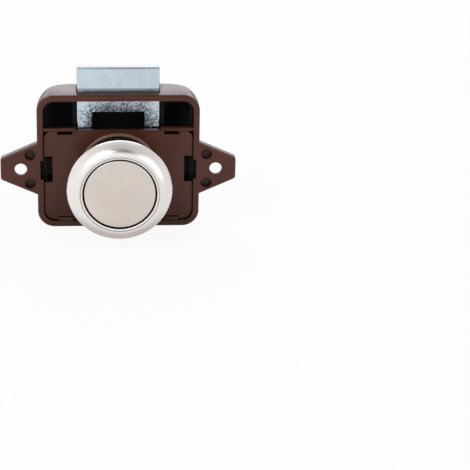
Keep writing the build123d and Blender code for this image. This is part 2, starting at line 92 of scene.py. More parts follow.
def photographers_camera():
    back = Vector((
        math.sin(view_azimuth) * math.cos(view_elevation),
        -math.cos(view_azimuth) * math.cos(view_elevation),
        math.sin(view_elevation),
    ))
    right = Vector((math.cos(view_azimuth), math.sin(view_azimuth), 0))
    up = back.cross(right)
    square_on = Matrix((right, up, back)).transposed().to_quaternion()
    middle = picture_px / 2
    turn_right = math.atan((middle - knob_axis_px[0]) / focal_px)
    turn_down = math.atan((middle - knob_axis_px[1]) / focal_px)
    data = bpy.data.cameras.new("camera")
    data.sensor_width = sensor_mm
    data.lens = focal_px / picture_px * sensor_mm
    camera = bpy.data.objects.new("camera", data)
    camera.location = back * view_distance
    camera.rotation_mode = "QUATERNION"
    camera.rotation_quaternion = square_on @ Euler((-turn_down, -turn_right, 0)).to_quaternion()
    bpy.context.scene.collection.objects.link(camera)
    bpy.context.scene.camera = camera
    return camera


camera = photographers_camera()


def picture_place(point):
    """Where a point of the lock falls in the picture, in pixels from its upper left corner."""
    seen = camera.matrix_world.inverted() @ Vector(point)
    return (
        picture_px / 2 - focal_px * seen.x / seen.z,
        picture_px / 2 + focal_px * seen.y / seen.z,
    )


bpy.context.view_layer.update()
print("knob's axis at pixel", [round(v, 1) for v in picture_place((0, 0, 0))])

# %% [markdown]
# ## Helpers for nodes
# The room, the floor and every finish are small graphs of nodes. With these helpers a node is one line, written
# like a formula. Each takes plain values or what other nodes give out, and gives out its own result.

# %% Node helpers
def put(tree, value, socket):
    """Links what another node gives out to a socket, or sets the socket to a plain value."""
    if isinstance(value, bpy.types.NodeSocket):
        tree.links.new(value, socket)
    else:
        socket.default_value = value


def calc(tree, operation, *values, clamp=False):
    """One step of arithmetic with numbers."""
    node = tree.nodes.new("ShaderNodeMath")
    node.operation = operation
    node.use_clamp = clamp
    for value, socket in zip(values, node.inputs):
        put(tree, value, socket)
    return node.outputs["Value"]


def calc_vector(tree, operation, *values):
    """One step of arithmetic with places or colours. Distances, lengths and dot products are numbers."""
    node = tree.nodes.new("ShaderNodeVectorMath")
    node.operation = operation
    for value, socket in zip(values, node.inputs):
        put(tree, value, socket)
    is_number = operation in ("DISTANCE", "LENGTH", "DOT_PRODUCT")
    return node.outputs["Value" if is_number else "Vector"]


def taken_apart(tree, place):
    """How far a place is across, back and up."""
    node = tree.nodes.new("ShaderNodeSeparateXYZ")
    tree.links.new(place, node.inputs["Vector"])
    return node.outputs["X"], node.outputs["Y"], node.outputs["Z"]


def spread(tree, value, low, high, start=0.35, end=0.65, smooth=False):
    """Spreads the part of a value between start and end over the range from low to high."""
    ranged = tree.nodes.new("ShaderNodeMapRange")
    if smooth:
        ranged.interpolation_type = "SMOOTHSTEP"
    ranged.inputs["From Min"].default_value = start
    ranged.inputs["From Max"].default_value = end
    ranged.inputs["To Min"].default_value = low
    ranged.inputs["To Max"].default_value = high
    tree.links.new(value, ranged.inputs["Value"])
    return ranged.outputs["Result"]


def between(tree, amount, first, second):
    """A colour between two, by a pattern. Each may be a colour or another node's output."""
    mix = tree.nodes.new("ShaderNodeMix")
    mix.data_type = "RGBA"
    tree.links.new(amount, mix.inputs[0])
    for colour, socket in ((first, mix.inputs[6]), (second, mix.inputs[7])):
        put(tree, (*colour, 1) if isinstance(colour, tuple) else colour, socket)
    return mix.outputs[2]


def chosen(tree, switch, when_off, when_on):
    """One number or another, by a switch of 0 or 1 such as a kind of ray."""
    mix = tree.nodes.new("ShaderNodeMix")
    for value, name in ((switch, "Factor"), (when_off, "A"), (when_on, "B")):
        put(tree, value, mix.inputs[name])
    return mix.outputs["Result"]


# %% [markdown]
# ## Room
# The lock was photographed on a white sweep, under large soft lamps. The world stands for the white room: it is
# white to the camera and in reflections, and gentler as light. Metal only looks like metal when it has something
# darker to mirror. So the mirrored room is a little brighter in front and on the left, darker towards its
# ceiling, and has a dim patch, wider than it is high, above the photographer. It makes the crescent on the ring.

# %% Room
scene = bpy.context.scene
scene.view_settings.view_transform = "Standard"
room_light = 0.37
room_mirrored = 0.92
room_left_gain = 0.08
room_front_gain = 0.09
room_ceiling_loss = 0.40
dim_patch_level = 0.06
dim_patch_elevation = math.radians(57)
dim_patch_height = 0.39
dim_patch_core = 0.45
dim_patch_squeeze = 0.62


def mirrored_room(tree):
    """How bright the room is in mirrors, by the direction in which it is seen."""
    direction = tree.nodes.new("ShaderNodeTexCoord").outputs["Generated"]
    dim_middle = (0, -math.cos(dim_patch_elevation), math.sin(dim_patch_elevation))
    dim_from = dim_patch_height * dim_patch_core
    squeezed = calc_vector(tree, "MULTIPLY", direction, (dim_patch_squeeze, 1, 1))
    away = calc_vector(tree, "DISTANCE", squeezed, dim_middle)
    dimming = spread(tree, away, dim_patch_level, 1, start=dim_from, end=dim_patch_height, smooth=True)
    sides = calc_vector(tree, "DOT_PRODUCT", direction, (-room_left_gain, -room_front_gain, 0))
    upward = taken_apart(tree, direction)[2]
    steepness = calc(tree, "MULTIPLY", upward, upward)
    overhead = calc(tree, "MULTIPLY_ADD", steepness, -room_ceiling_loss, room_mirrored)
    return calc(tree, "MULTIPLY", calc(tree, "ADD", sides, overhead), dimming)


def white_room():
    world = bpy.data.worlds.new("white room")
    world.use_nodes = True
    scene.world = world
    tree = world.node_tree
    tree.nodes.clear()
    ray = tree.nodes.new("ShaderNodeLightPath").outputs
    lit_or_mirrored = chosen(tree, ray["Is Glossy Ray"], room_light, mirrored_room(tree))
    background = tree.nodes.new("ShaderNodeBackground")
    background.inputs["Color"].default_value = (1, 1, 1, 1)
    put(tree, chosen(tree, ray["Is Camera Ray"], lit_or_mirrored, 1.0), background.inputs["Strength"])
    output = tree.nodes.new("ShaderNodeOutputWorld")
    tree.links.new(background.outputs["Background"], output.inputs["Surface"])


white_room()
print("room mirrored in front", room_mirrored + room_front_gain)
print("room mirrored at the ceiling", room_mirrored - room_ceiling_loss)

# %% [markdown]
# ## Floor
# A large plane under the lock would do as a floor, but lit paper comes out grey or uneven. Here most of what the
# camera sees of it is a plain white glow, and the rest is lit paper, which keeps a faint shadow of the lock. In
# mirrors the floor is the same white, a little less so on the right. Right under the lock it is darker and tinted
# brown by the case, which gives the ring's lower side its depth.

# %% Floor
floor_half = 0.9
paper_white = (0.95, 0.95, 0.95)
floor_shadow_share = 0.08
floor_glow = 1.0
floor_mirrored_share = 0.92
mirrored_left = 1.0
mirrored_right = 0.84
mirrored_fade = 0.06
foot_shade = 0.62
foot_reach = 0.029
foot_core = 0.3
foot_forward = 0.012
foot_tint = (1.0, 0.90, 0.87)


def floor_glowing(tree, place, ray):
    """The floor's own light: plain white, but in mirrors less so on the right and brown under the lock."""
    across = taken_apart(tree, place)[0]
    sides = spread(
        tree, across, mirrored_left, mirrored_right, start=-mirrored_fade, end=mirrored_fade, smooth=True
    )
    from_foot = calc_vector(tree, "DISTANCE", place, (0, -foot_forward, cad_low.z))
    foot_from = foot_reach * foot_core
    shade = spread(tree, from_foot, foot_shade, 1, start=foot_from, end=foot_reach, smooth=True)
    open_floor = spread(tree, shade, 0, 1, start=foot_shade, end=1)
    tinted = calc(tree, "SUBTRACT", ray["Is Glossy Ray"], open_floor, clamp=True)
    strength = chosen(tree, ray["Is Glossy Ray"], floor_glow, calc(tree, "MULTIPLY", sides, shade))
    glow = tree.nodes.new("ShaderNodeEmission")
    put(tree, between(tree, tinted, (1, 1, 1), foot_tint), glow.inputs["Color"])
    put(tree, strength, glow.inputs["Strength"])
    return glow.outputs["Emission"]


def white_sweep_finish():
    material = bpy.data.materials.new("white sweep")
    material.use_nodes = True
    tree = material.node_tree
    tree.nodes.clear()
    place = tree.nodes.new("ShaderNodeTexCoord").outputs["Object"]
    ray = tree.nodes.new("ShaderNodeLightPath").outputs
    paper = tree.nodes.new("ShaderNodeBsdfDiffuse")
    paper.inputs["Color"].default_value = (*paper_white, 1)
    in_mirrors = calc(tree, "MULTIPLY", ray["Is Glossy Ray"], floor_mirrored_share)
    share = calc(tree, "MULTIPLY_ADD", ray["Is Camera Ray"], 1 - floor_shadow_share, in_mirrors)
    mix = tree.nodes.new("ShaderNodeMixShader")
    tree.links.new(share, mix.inputs["Fac"])
    tree.links.new(paper.outputs["BSDF"], mix.inputs[1])
    tree.links.new(floor_glowing(tree, place, ray), mix.inputs[2])
    output = tree.nodes.new("ShaderNodeOutputMaterial")
    tree.links.new(mix.outputs["Shader"], output.inputs["Surface"])
    return material


def white_floor():
    edge, low = floor_half, cad_low.z
    corners = [(-edge, -edge, low), (edge, -edge, low), (edge, edge, low), (-edge, edge, low)]
    mesh = bpy.data.meshes.new("floor")
    mesh.from_pydata(corners, [], [(0, 1, 2, 3)])
    mesh.materials.append(white_sweep_finish())
    floor = bpy.data.objects.new("floor", mesh)
    scene.collection.objects.link(floor)


white_floor()
print("floor at", round(cad_low.z / MM, 2), "mm, under the lock's lowest point")

# %% [markdown]
# ## Lamps
# Three large square lamps: the key lamp from the upper left, which makes the bright sweep on the ring, a weak one
# from the right to open the shadows, and a cool one from behind for the case's top and the back views. Large
# lamps give soft edges to the highlights, as in the picture.

# %% Lamps
# Each lamp: name, place in metres, side of its square in metres, power in watts, colour.
lamps = [
    ("key lamp", (-0.50, -0.60, 0.75), 0.56, 3.4, (1.0, 1.0, 1.0)),
    ("fill lamp", (0.75, -0.55, 0.35), 0.70, 1.5, (1.0, 1.0, 1.0)),
    ("back lamp", (0.0, 0.75, 0.50), 0.95, 5.2, (0.93, 0.95, 1.0)),
]
for name, place, side, watts, tint in lamps:
    light = bpy.data.lights.new(name, "AREA")
    light.shape = "SQUARE"
    light.size = side
    light.energy = watts
    light.color = tint
    lamp = bpy.data.objects.new(name, light)
    lamp.location = place
    lamp.rotation_mode = "QUATERNION"
    lamp.rotation_quaternion = Vector(place).to_track_quat("Z", "Y")
    scene.collection.objects.link(lamp)
    print(name, "at", round(lamp.location.length, 2), "m from the knob")

# %% [markdown]
# ## Helpers for finishes
# A finish's patterns are placed by the Object coordinates, which are metres on the lock, so a grain of a quarter
# of a millimetre needs a scale of some four thousand.

# %% Finish helpers
crevice_samples = 12


def start_finish(name):
    """A material with its node tree, its shader and the place of each point on the lock."""
    material = bpy.data.materials.new(name)
    material.use_nodes = True
    tree = material.node_tree
    shader = tree.nodes["Principled BSDF"]
    place = tree.nodes.new("ShaderNodeTexCoord").outputs["Object"]
    return material, tree, shader, place


def speckle(tree, place, scale, detail=2.0, roughness=0.5, distortion=0.0):
    """A cloudy pattern between 0 and 1. Higher scale means finer clouds."""
    noise = tree.nodes.new("ShaderNodeTexNoise")
    noise.inputs["Scale"].default_value = scale
    noise.inputs["Detail"].default_value = detail
    noise.inputs["Roughness"].default_value = roughness
    noise.inputs["Distortion"].default_value = distortion
    tree.links.new(place, noise.inputs["Vector"])
    return noise.outputs["Fac"]


def painted_crevice_shade(tree, reach_mm, darkest, closed=0.2, open_share=0.9):
    """Painted shade: 1 on open surfaces, less in corners, holes and narrow slits, where light doesn't reach."""
    nearby = tree.nodes.new("ShaderNodeAmbientOcclusion")
    nearby.samples = crevice_samples
    nearby.inputs["Distance"].default_value = reach_mm * MM
    return spread(tree, nearby.outputs["AO"], darkest, 1, start=closed, end=open_share)


def shaded(tree, colour, share):
    """A colour made darker by a share between 0 and 1."""
    return calc_vector(tree, "MULTIPLY", colour, share)


def relief(tree, shader, height, strength, depth_mm):
    """Raises or sinks the surface by a pattern, as light sees it."""
    bump = tree.nodes.new("ShaderNodeBump")
    bump.inputs["Strength"].default_value = strength
    bump.inputs["Distance"].default_value = depth_mm * MM
    tree.links.new(height, bump.inputs["Height"])
    tree.links.new(bump.outputs["Normal"], shader.inputs["Normal"])


def faceted(tree, shader, place, scale, tilt):
    """Breaks the surface up into small cells, each tilted its own way."""
    cells = tree.nodes.new("ShaderNodeTexVoronoi")
    cells.inputs["Scale"].default_value = scale
    tree.links.new(place, cells.inputs["Vector"])
    surface = tree.nodes.new("ShaderNodeNewGeometry").outputs["Normal"]
    centred = calc_vector(tree, "SUBTRACT", cells.outputs["Color"], (0.5, 0.5, 0.5))
    tilted = calc_vector(tree, "ADD", calc_vector(tree, "MULTIPLY", centred, tilt), surface)
    tree.links.new(calc_vector(tree, "NORMALIZE", tilted), shader.inputs["Normal"])


def made(material):
    """Says what was made and hands it on."""
    print("made", material.name, "with", len(material.node_tree.nodes), "nodes")
    return material


# %% [markdown]
# ## Brown case plastic
# The case and its cover are moulded in chocolate brown plastic. The mould was lightly spark eroded, which leaves
# a very fine grain, and the melt flowed in with faint clouds of lighter brown. It is glossy enough that the top
# of the case turns pinkish grey where it mirrors the white room at a low angle. That needs no painted colour:
# a Principled shader does it by itself once the roughness is low. Corners, holes and the cover round the
# collar, under the ring, are painted darker: painted shade. The end of the collar is painted a paler brown:
# a painted highlight on its rounded edge.

# %% Case plastic
case_brown = (0.089, 0.027, 0.016)
case_brown_light = (0.104, 0.032, 0.019)
collar_highlight_brown = (0.20, 0.11, 0.085)
collar_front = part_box("front_cover")[0].y
collar_highlight_mm = 0.2
collar_highlight_fade_mm = 0.3


def case_plastic_finish():
    material, tree, shader, place = start_finish("case plastic")
    clouds = speckle(tree, place, scale=70, detail=4, distortion=0.6)
    grain = speckle(tree, place, scale=4200)
    colour = between(tree, spread(tree, clouds, 0, 1), case_brown, case_brown_light)
    # Painted shade: darker in corners and holes, and on the cover round the collar under the ring.
    corners = painted_crevice_shade(tree, reach_mm=2.5, darkest=0.5, closed=0.1, open_share=0.7)
    painted_recess_shade = painted_crevice_shade(tree, reach_mm=20, darkest=0.38, closed=0.2, open_share=0.66)
    colour = shaded(tree, shaded(tree, colour, corners), painted_recess_shade)
    # Painted highlight: the end of the collar is painted a paler brown.
    back = taken_apart(tree, place)[1]
    collar_highlight_end = collar_front + collar_highlight_mm * MM
    painted_band = spread(tree, back, 1, 0, start=collar_highlight_end, end=collar_highlight_end + collar_highlight_fade_mm * MM)
    colour = between(tree, painted_band, colour, collar_highlight_brown)
    tree.links.new(colour, shader.inputs["Base Color"])
    tree.links.new(spread(tree, clouds, 0.26, 0.34), shader.inputs["Roughness"])
    relief(tree, shader, grain, strength=0.22, depth_mm=0.012)
    shader.inputs["IOR"].default_value = 1.36
    return material


case_plastic = made(case_plastic_finish())

# %% [markdown]
# ## Black inner plastic
# The liner, the plunger and the sleeve are moulded in black, slightly duller than the case. In the picture the
# open spaces look almost black, because hardly any light that enters comes back out. The near-black colour is
# partly painted shade that keeps those spaces black, and corners are painted darker still: painted shade.

# %% Inner plastic
# Near black, in part painted shade for the deep spaces inside the case.
inner_black = (0.0110, 0.0104, 0.0104)
inner_black_light = (0.0135, 0.0128, 0.0128)


def inner_plastic_finish():
    material, tree, shader, place = start_finish("inner plastic")
    clouds = speckle(tree, place, scale=90, detail=3)
    grain = speckle(tree, place, scale=3600)
    colour = between(tree, spread(tree, clouds, 0, 1), inner_black, inner_black_light)
    # Painted shade: darker in corners and narrow slits.
    colour = shaded(tree, colour, painted_crevice_shade(tree, reach_mm=3, darkest=0.7))
    tree.links.new(colour, shader.inputs["Base Color"])
    tree.links.new(spread(tree, clouds, 0.46, 0.58), shader.inputs["Roughness"])
    relief(tree, shader, grain, strength=0.2, depth_mm=0.012)
    shader.inputs["IOR"].default_value = 1.19
    return material


inner_plastic = made(inner_plastic_finish())

# %% [markdown]
# ## Zinc plated bolt
# The bolt is die cast and plated in bright zinc, a cool light grey with a slight grain. Bright plating mirrors in
# tiny facets a third of a millimetre wide, so where it mirrors the black sleeve it looks speckled. The finish
# needs cells that are each tilted by some five degrees. Higher up, where the bolt slides through its slot, the
# facets are worn flat, so the tilt fades out there.
# The flat at the top of the nose is rougher than the rest and painted darker: painted shade on the top. Just
# above the slot a narrow band is painted darker: a painted reflection of the case's shadowed top.

# %% Bolt plating
zinc = (0.57, 0.66, 0.73)
zinc_light = (0.64, 0.73, 0.80)
zinc_grain = (0.42, 0.49, 0.55)
nose_top_shade_zinc = (0.42, 0.44, 0.45)
bolt_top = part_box("latch_bolt")[1].z
case_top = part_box("housing")[1].z
case_mirror_middle_mm = 0.3
case_mirror_half_mm = 1.05
case_mirror_fade_mm = 0.15
case_mirror_level = 0.48
nose_top_from = bolt_top - 0.10 * MM
nose_top_to = bolt_top - 0.02 * MM
nose_top_dullness = 0.3
facet_scale = 3400
facet_tilt = 0.2
facet_tilt_worn = 0.03
worn_from = case_top - 3.5 * MM
worn_to = case_top - 0.5 * MM


def bolt_plating_finish():
    material, tree, shader, place = start_finish("bolt plating")
    clouds = speckle(tree, place, scale=160, detail=5, distortion=0.8)
    grain = speckle(tree, place, scale=2600, detail=3, roughness=0.6)
    up = taken_apart(tree, place)[2]
    pale = between(tree, spread(tree, clouds, 0, 1), zinc, zinc_light)
    colour = between(tree, spread(tree, grain, 0, 0.25), pale, zinc_grain)
    # Painted shade: the flat at the top of the nose is darker; it is also rougher.
    painted_band = spread(tree, up, 0, 1, start=nose_top_from, end=nose_top_to)
    colour = between(tree, painted_band, colour, nose_top_shade_zinc)
    # Painted reflection: a darker band just above the slot, where the bolt mirrors the case's shadowed top.
    from_case_mirror = calc(tree, "ABSOLUTE", calc(tree, "SUBTRACT", up, case_top + case_mirror_middle_mm * MM))
    case_mirror_from = (case_mirror_half_mm - case_mirror_fade_mm) * MM
    painted_case_mirror = spread(tree, from_case_mirror, case_mirror_level, 1, start=case_mirror_from, end=case_mirror_half_mm * MM)
    tree.links.new(shaded(tree, colour, painted_case_mirror), shader.inputs["Base Color"])
    roughness = spread(tree, grain, 0.10, 0.24)
    dulled = calc(tree, "MULTIPLY_ADD", painted_band, nose_top_dullness, roughness)
    tree.links.new(dulled, shader.inputs["Roughness"])
    tilt = spread(tree, up, facet_tilt, facet_tilt_worn, start=worn_from, end=worn_to)
    faceted(tree, shader, place, facet_scale, tilt)
    shader.inputs["Metallic"].default_value = 1.0
    return material


bolt_plating = made(bolt_plating_finish())

# %% [markdown]
# ## Satin nickel
# The ring and the knob are turned, plated in nickel and brushed while they spin. The brushing leaves rings so
# fine that they show only as a soft sheen. The pattern is therefore a noise along the radius: points at the same
# distance from the knob's axis get the same height.

# %% Satin nickel
brush_scale = 9000


def spun(tree, place):
    """A point's distance from the knob's axis and its place along it, the same all round."""
    across, back, up = taken_apart(tree, place)
    flat = tree.nodes.new("ShaderNodeCombineXYZ")
    tree.links.new(across, flat.inputs["X"])
    tree.links.new(up, flat.inputs["Z"])
    around = tree.nodes.new("ShaderNodeCombineXYZ")
    tree.links.new(calc_vector(tree, "LENGTH", flat.outputs["Vector"]), around.inputs["X"])
    tree.links.new(back, around.inputs["Y"])
    return around.outputs["Vector"]


def satin_nickel_finish(name, nickel, nickel_light, roughness, brush):
    material, tree, shader, place = start_finish(name)
    rings = speckle(tree, spun(tree, place), scale=brush_scale)
    clouds = speckle(tree, place, scale=120, detail=3)
    colour = between(tree, spread(tree, clouds, 0, 1), nickel, nickel_light)
    # Painted shade: dark in the narrow slit between the knob and the ring's bore, and in other tight corners.
    painted_gap_shade = painted_crevice_shade(tree, reach_mm=0.9, darkest=0.03, closed=0.3, open_share=0.6)
    tree.links.new(shaded(tree, colour, painted_gap_shade), shader.inputs["Base Color"])
    tree.links.new(spread(tree, rings, *roughness), shader.inputs["Roughness"])
    relief(tree, shader, rings, strength=brush, depth_mm=0.004)
    shader.inputs["Metallic"].default_value = 1.0
    return made(material)


ring_nickel = satin_nickel_finish(
    "ring nickel", (0.87, 0.84, 0.81), (0.91, 0.88, 0.85), roughness=(0.26, 0.34), brush=0.12
)
knob_nickel = satin_nickel_finish(
    "knob nickel", (0.72, 0.65, 0.595), (0.76, 0.685, 0.63), roughness=(0.29, 0.35), brush=0.04
)

# %% [markdown]
# ## Bare zinc
# Nobody sees the ring's rear once it lies on the door, so it is left as it came out of the die: pale, matt zinc.
# It still matters to the picture, because the bolt and the collar mirror it.

# %% Bare zinc
def bare_zinc_finish():
    material, tree, shader, place = start_finish("bare zinc")
    clouds = speckle(tree, place, scale=300, detail=4, distortion=0.4)
    colour = between(tree, spread(tree, clouds, 0, 1), (0.74, 0.75, 0.76), (0.84, 0.85, 0.86))
    tree.links.new(colour, shader.inputs["Base Color"])
    tree.links.new(spread(tree, clouds, 0.45, 0.60), shader.inputs["Roughness"])
    relief(tree, shader, clouds, strength=0.3, depth_mm=0.03)
    shader.inputs["Metallic"].default_value = 0.25
    return material


bare_zinc = made(bare_zinc_finish())

# %% [markdown]
# ## Spring and screw steel
# The springs, the cam wire and the leaf are drawn steel with a thin film of oil, and the knob's screw is zinc
# plated. They are all inside, but a library part can be opened, so they get their own finish as well.

# %% Spring and screw steel
def drawn_steel_finish(name, steel, steel_light, roughness):
    material, tree, shader, place = start_finish(name)
    streaks = speckle(tree, place, scale=1500, detail=3, distortion=1.2)
    colour = between(tree, spread(tree, streaks, 0, 1), steel, steel_light)
    tree.links.new(colour, shader.inputs["Base Color"])
    tree.links.new(spread(tree, streaks, *roughness), shader.inputs["Roughness"])
    relief(tree, shader, streaks, strength=0.2, depth_mm=0.006)
    shader.inputs["Metallic"].default_value = 1.0
    return made(material)


spring_steel = drawn_steel_finish("spring steel", (0.38, 0.38, 0.39), (0.50, 0.50, 0.50), roughness=(0.25, 0.40))
screw_steel = drawn_steel_finish("screw steel", (0.52, 0.53, 0.55), (0.62, 0.63, 0.64), roughness=(0.25, 0.38))

# %% [markdown]
# ## Moulded and cast pieces
# No moulded or cast edge is truly sharp: each has a small round that catches a thin line of light, and those
# lines draw the whole lock in the picture. The flat faces of the solids are first joined again into large faces,
# so that only true edges are left, and a bevel then rounds every edge that turns by more than a set angle.

# %% Softened copies
sharp_turn = math.radians(32)
flat_turn = math.radians(0.5)
weld_gap = 0.002 * MM


def softened(node, name, body, finish, edge_mm, steps=2, shape=None):
    """A copy of a solid with rounded edges, which stands in its place. A shape function may work on it first."""
    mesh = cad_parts[node].data.copy()
    mesh.name = name
    work = bmesh.new()
    work.from_mesh(mesh)
    bmesh.ops.remove_doubles(work, verts=work.verts, dist=weld_gap)
    bmesh.ops.dissolve_limit(work, angle_limit=flat_turn, verts=work.verts, edges=work.edges)
    if shape:
        shape(work)
    for face in work.faces:
        face.smooth = True
    work.to_mesh(mesh)
    work.free()
    mesh.materials.clear()
    mesh.materials.append(finish)
    piece = bpy.data.objects.new(name, mesh)
    scene.collection.objects.link(piece)
    bevel = piece.modifiers.new("edge round", "BEVEL")
    bevel.limit_method = "ANGLE"
    bevel.angle_limit = sharp_turn
    bevel.width = edge_mm * MM
    bevel.segments = steps
    bevel.use_clamp_overlap = True
    bevel.harden_normals = True
    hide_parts(node)
    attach(piece, body)
    print(name, "faces", len(mesh.polygons), "from", len(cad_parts[node].data.polygons))


# %% [markdown]
# ## Bolt's nose and cover's collar
# Two edges have more shape than an even round. A fine groove runs across the bolt's front, just under the lip of
# its nose, and shows as a dark line. It needs three cuts across the bolt, the middle one then pushed in. The
# outer edge of the cover's collar has a larger round, on which the ring's sleeve finds its way.

# %% Shapes of their own
nose_groove_drop_mm = 0.34
nose_groove_half_mm = 0.18
nose_groove_depth_mm = 0.22
collar_round_mm = 0.42
collar_round_steps = 3
on_plane = 0.001 * MM
near_plane = 0.01 * MM
rim_width = 0.1 * MM


def nose_groove(work):
    """A fine groove across the bolt's front, just under the lip of its nose."""
    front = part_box("latch_bolt")[0].y
    middle = bolt_top - nose_groove_drop_mm * MM
    half = nose_groove_half_mm * MM
    for level in (middle + half, middle, middle - half):
        geometry = work.verts[:] + work.edges[:] + work.faces[:]
        bmesh.ops.bisect_plane(work, geom=geometry, plane_co=(0, 0, level), plane_no=(0, 0, 1), dist=1e-7)
    for vert in work.verts:
        if abs(vert.co.z - middle) < on_plane and abs(vert.co.y - front) < on_plane:
            vert.co.y += nose_groove_depth_mm * MM


def collar_round(work):
    """A larger round on the outer edge of the cover's collar."""
    rims = [e for e in work.edges if all(abs(v.co.y - collar_front) < near_plane for v in e.verts)]
    widest = max(v.co.xz.length for e in rims for v in e.verts)
    outer = [e for e in rims if all(v.co.xz.length > widest - rim_width for v in e.verts)]
    offset = collar_round_mm * MM
    bmesh.ops.bevel(work, geom=outer, offset=offset, segments=collar_round_steps, profile=0.5, affect="EDGES")
    print("collar edges rounded", len(outer), "at radius", round(widest / MM, 2))


softened("housing", "case", "lock_case", case_plastic, edge_mm=0.3, steps=3)
softened("front_cover", "cover", "lock_case", case_plastic, edge_mm=0.14, shape=collar_round)
softened("guide_liner", "liner", "lock_case", inner_plastic, edge_mm=0.12)
softened(
    "latch_bolt", "bolt_frame", "bolt", bolt_plating, edge_mm=0.22, steps=3, shape=nose_groove
)
softened("plunger", "plunger_slide", "push_knob", inner_plastic, edge_mm=0.12)

# %% [markdown]
# ## Helpers for shapes
# The ring, the knob, the sleeve and the springs are made afresh, all in one way: rows of points, each row a loop,
# with faces woven between neighbouring rows. Many narrow segments keep the round edges smooth in a close view.

# %% Shape helpers
turn_segments = 160


def loop(work, radius, y, segments=turn_segments):
    """A row of points round the knob's axis, in mm. The radius may depend on the angle."""
    row = []
    for step in range(segments):
        angle = math.tau * step / segments
        r = (radius(angle) if callable(radius) else radius) * MM
        row.append(work.verts.new((r * math.cos(angle), y * MM, r * math.sin(angle))))
    return row


def weave(work, rows):
    """Faces between neighbouring rows. A row of one point closes the shape like the tip of a cone."""
    for first, second in zip(rows, rows[1:]):
        count = max(len(first), len(second))
        for step in range(count):
            after = (step + 1) % count
            corners = [
                first[step % len(first)],
                first[after % len(first)],
                second[after % len(second)],
                second[step % len(second)],
            ]
            work.faces.new(list(dict.fromkeys(corners))).smooth = True


def made_piece(work, name, finish):
    """Turns woven faces into a piece with its finish."""
    bmesh.ops.recalc_face_normals(work, faces=work.faces)
    mesh = bpy.data.meshes.new(name)
    work.to_mesh(mesh)
    work.free()
    mesh.materials.append(finish)
    piece = bpy.data.objects.new(name, mesh)
    scene.collection.objects.link(piece)
    print(name, "faces", len(mesh.polygons))
    return piece


# %% [markdown]
# ## Turned pieces
# The ring and the knob were turned on a lathe, so they are built the same way: an outline on one side of the
# axis is spun round it. An outline that starts and ends on the axis is a full body, and any other is closed to
# a ring. The ring's rear gets its own finish, on all faces that look back.

# %% Turning
rear_facing = 0.7


def arc_points(centre, radii, start, end, steps):
    """Points along part of an ellipse, its angles in degrees from the direction away from the axis."""
    points = []
    for step in range(steps + 1):
        angle = math.radians(start + (end - start) * step / steps)
        points.append((centre[0] + radii[0] * math.cos(angle), centre[1] + radii[1] * math.sin(angle)))
    return points


def turned(name, outline, body, finish, rear_finish=None):
    """Spins an outline of (radius, y) points in mm round the knob's axis. Its rear may have its own finish."""
    work = bmesh.new()
    rows = [loop(work, radius, y, turn_segments if radius else 1) for radius, y in outline]
    if outline[0][0]:
        rows.append(rows[0])
    weave(work, rows)
    piece = made_piece(work, name, finish)
    mesh = piece.data
    mesh.set_sharp_from_angle(angle=sharp_turn)
    if rear_finish:
        mesh.materials.append(rear_finish)
        for face in mesh.polygons:
            face.material_index = int(face.normal.y > rear_facing)
    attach(piece, body)
    return piece


# %% [markdown]
# ## Rosette ring
# The ring lies on the door with its seat, and a spigot reaches back into the hole. Its front is no plain round
# bead: from the rim it rises at a slant and bends over to the crown, which is part of an ellipse. A fine groove
# runs inside the crown, and the bore has a small lip. The outline starts at the back of the spigot and goes
# round outside first.

# %% Ring
ring_low, ring_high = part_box("rosette_ring")
sleeve_low, sleeve_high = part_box("rosette_sleeve")
ring_r = ring_high.x / MM
ring_front = ring_low.y / MM
ring_rear = ring_high.y / MM
ring_shoulder = sleeve_low.y / MM
ring_height = 3.9
ring_seat = ring_front + ring_height
rim_height = 0.1
ring_lip = ring_seat - rim_height
rim_chamfer_in = 0.06
rim_chamfer_up = 0.05
crown_r = 11.75
bore_r = 10.8
spigot_inner = 10.95
spigot_outer = 12.25
rim_share = 0.75
rim_degrees = math.degrees(math.asin(rim_share))
dome_out = (ring_r - crown_r) / math.cos(math.radians(rim_degrees))
dome_forward = (ring_lip - ring_front) / (1 - rim_share)
# The groove and the bore's lip: how far in from the crown or out from the bore, and how far back from the front.
ring_groove = [(0.14, 0.02), (0.24, 0.27), (0.38, 0.27), (0.48, 0.06)]
bore_lip = [(0.22, 0.09), (0.07, 0.15), (0, 0.30)]
ring_outline = [
    (spigot_inner, ring_rear),
    (spigot_outer, ring_rear),
    (spigot_outer, ring_seat),
    (ring_r - rim_chamfer_in, ring_seat),
    (ring_r, ring_seat - rim_chamfer_up),
    *arc_points((crown_r, ring_front + dome_forward), (dome_out, dome_forward), -rim_degrees, -90, steps=24),
    *[(crown_r - inward, ring_front + back) for inward, back in ring_groove],
    *[(bore_r + outward, ring_front + back) for outward, back in bore_lip],
    (bore_r, ring_shoulder),
    (spigot_inner, ring_shoulder),
]
ring = turned("ring", ring_outline, "rosette", ring_nickel, rear_finish=bare_zinc)
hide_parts("rosette_ring")

# %% [markdown]
# ## Knob
# The knob is a flat disc on a stem. Only a narrow round at its edge catches the light. Behind the disc a cone
# leads to the neck, and the spigot at the end takes the screw. The outline goes from the middle of the face to
# the bottom of the screw's bore.

